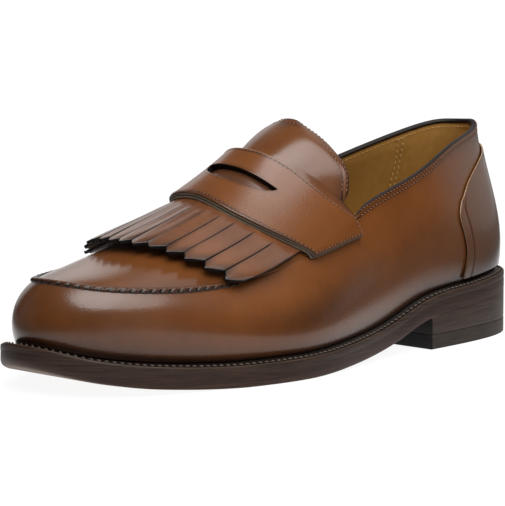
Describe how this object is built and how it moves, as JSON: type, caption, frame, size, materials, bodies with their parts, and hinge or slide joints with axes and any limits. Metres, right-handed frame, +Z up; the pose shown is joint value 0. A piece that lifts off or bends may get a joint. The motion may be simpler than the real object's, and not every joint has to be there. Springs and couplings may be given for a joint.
{
  "type": "kiltie penny loafer",
  "caption": "Left slip-on leather loafer with a sewn apron toe, a fringed kiltie under a slotted saddle strap, a tongue tab, a welted leather sole and a low stacked heel.",
  "frame": {"origin": "on the floor under the middle of the shoe's bounding box", "axes": "+Z up from the floor, -Y towards the toe, +X towards the outer side of a left foot"},
  "size_m": [0.1074, 0.296, 0.108],
  "materials": {
    "upper_leather": "burnished, polished smooth calf",
    "strap_leather": "burnished, polished smooth calf",
    "kiltie_leather": "polished smooth calf with dark cut edges",
    "seam_leather": "hand-sewn raised seam",
    "stay_leather": "burnished, polished smooth calf",
    "binding_leather": "dark folded edge",
    "welt_leather": "waxed dark brown",
    "sole_leather": "waxed dark brown edge",
    "heel_leather": "waxed dark brown stack",
    "top_lift_rubber": "matt black",
    "lining_leather": "smooth tan lining"
  },
  "bodies": {
    "root": {"outsole": "sole_leather", "welt": "welt_leather", "heel_stack": "heel_leather", "heel_top_lift": "top_lift_rubber", "insole": "lining_leather", "upper": "upper_leather", "apron_seam": "seam_leather", "kiltie": "kiltie_leather", "saddle_strap": "strap_leather", "back_stay": "stay_leather", "collar_binding": "binding_leather", "tongue_binding": "binding_leather"}
  },
  "joints": []
}
